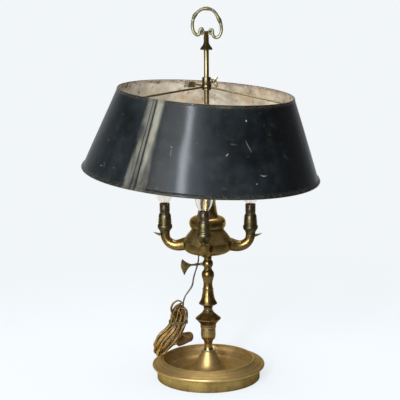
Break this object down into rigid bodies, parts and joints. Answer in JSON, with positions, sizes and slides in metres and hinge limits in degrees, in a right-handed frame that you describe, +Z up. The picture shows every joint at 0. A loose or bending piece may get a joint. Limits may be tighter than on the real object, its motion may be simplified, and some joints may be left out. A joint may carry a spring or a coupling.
{
  "type": "bouillotte lamp",
  "caption": "Brass bouillotte table lamp: dish base, turned column, reservoir with spout arms and candle sockets, tapered metal shade that slides on a rod, ring handle.",
  "frame": {"origin": "middle of the base's felt foot, on the surface that the lamp stands on", "axes": "+Z up along the rod, -Y the front, +X the viewer's right"},
  "size_m": [0.379, 0.3793, 0.6003],
  "materials": {
    "aged_brass": "aged satin",
    "dark_brass": "dark patina",
    "polished_brass": "worn bright",
    "cap_brass": "dull",
    "ballast_iron": "rough",
    "hidden_steel": "zinc plated",
    "foot_felt": "matte",
    "shade_paint": "satin, worn",
    "clear_glass": "clear",
    "stem_glass": "clear",
    "holder_brown": "satin",
    "lead_cover": "translucent gold",
    "plug_brown": "worn gloss",
    "plug_brass": "bright"
  },
  "bodies": {
    "stand": {"base_skirt": "aged_brass", "base_dish": "aged_brass", "base_weight": "ballast_iron", "base_felt": "foot_felt", "tie_nut": "hidden_steel", "tie_washer": "hidden_steel", "column_ring": "aged_brass", "column_foot": "aged_brass", "column_knob": "dark_brass", "column_bell": "dark_brass", "column_top": "dark_brass", "center_rod": "polished_brass", "finial": "aged_brass", "handle_pin": "dark_brass"},
    "lead": {"rest_ring": "dark_brass", "cord_drop": "lead_cover", "cord_hank": "lead_cover", "cord_tail": "lead_cover", "plug_body": "plug_brown", "plug_blades": "plug_brass"},
    "font": {"clamp_sleeve": "dark_brass", "reservoir_bowl": "aged_brass", "reservoir_cone": "aged_brass", "reservoir_collar": "aged_brass", "reservoir_neck": "aged_brass", "spout_front": "aged_brass", "spout_left": "aged_brass", "spout_back": "aged_brass", "spout_right": "aged_brass", "cord_bush": "dark_brass", "lead_wires": "lead_cover", "socket_husk_front": "aged_brass", "socket_husk_left": "aged_brass", "socket_husk_back": "aged_brass", "socket_husk_right": "aged_brass", "socket_sleeve_front": "holder_brown", "socket_sleeve_left": "holder_brown", "socket_sleeve_back": "holder_brown", "socket_sleeve_right": "holder_brown", "bulb_cap_front": "cap_brass", "bulb_cap_left": "cap_brass", "bulb_cap_back": "cap_brass", "bulb_cap_right": "cap_brass", "bulb_glass_front": "clear_glass", "bulb_glass_left": "clear_glass", "bulb_glass_back": "clear_glass", "bulb_glass_right": "clear_glass", "bulb_stems": "stem_glass"},
    "font_key": {"font_key": "aged_brass"},
    "shade_clamp": {"shade_clamp": "dark_brass"},
    "shade": {"spider_hub": "dark_brass", "spider_arms": "dark_brass", "shade_panel_left": "shade_paint", "shade_panel_right": "shade_paint", "shade_top_wire": "shade_paint", "shade_bottom_wire": "shade_paint"},
    "shade_screw": {"shade_screw": "dark_brass"},
    "handle": {"ring_handle": "aged_brass"}
  },
  "joints": [
    {"name": "font_swivel", "type": "hinge", "parent": "stand", "child": "lead", "pos_m": [0, 0, 0.18], "axis": [0, 0, 1], "range_deg": [-180, 180]},
    {"name": "font_slide", "type": "slide", "parent": "lead", "child": "font", "axis": [0, 0, 1], "range_m": [0, 0.045]},
    {"name": "font_key_turn", "type": "hinge", "parent": "font", "child": "font_key", "pos_m": [0, 0, 0.1896], "axis": [-0.9397, -0.342, 0], "range_deg": [0, 360]},
    {"name": "shade_slide", "type": "slide", "parent": "stand", "child": "shade_clamp", "axis": [0, 0, 1], "range_m": [-0.045, 0.038]},
    {"name": "shade_swivel", "type": "hinge", "parent": "shade_clamp", "child": "shade", "pos_m": [0, 0, 0.4753], "axis": [0, 0, 1], "continuous": true},
    {"name": "shade_screw_turn", "type": "hinge", "parent": "shade_clamp", "child": "shade_screw", "pos_m": [0, 0, 0.4844], "axis": [0.9903, -0.1392, 0], "range_deg": [0, 360]},
    {"name": "handle_swing", "type": "hinge", "parent": "stand", "child": "handle", "pos_m": [0, 0, 0.5586], "axis": [1, 0, 0], "range_deg": [-150, 150]}
  ]
}
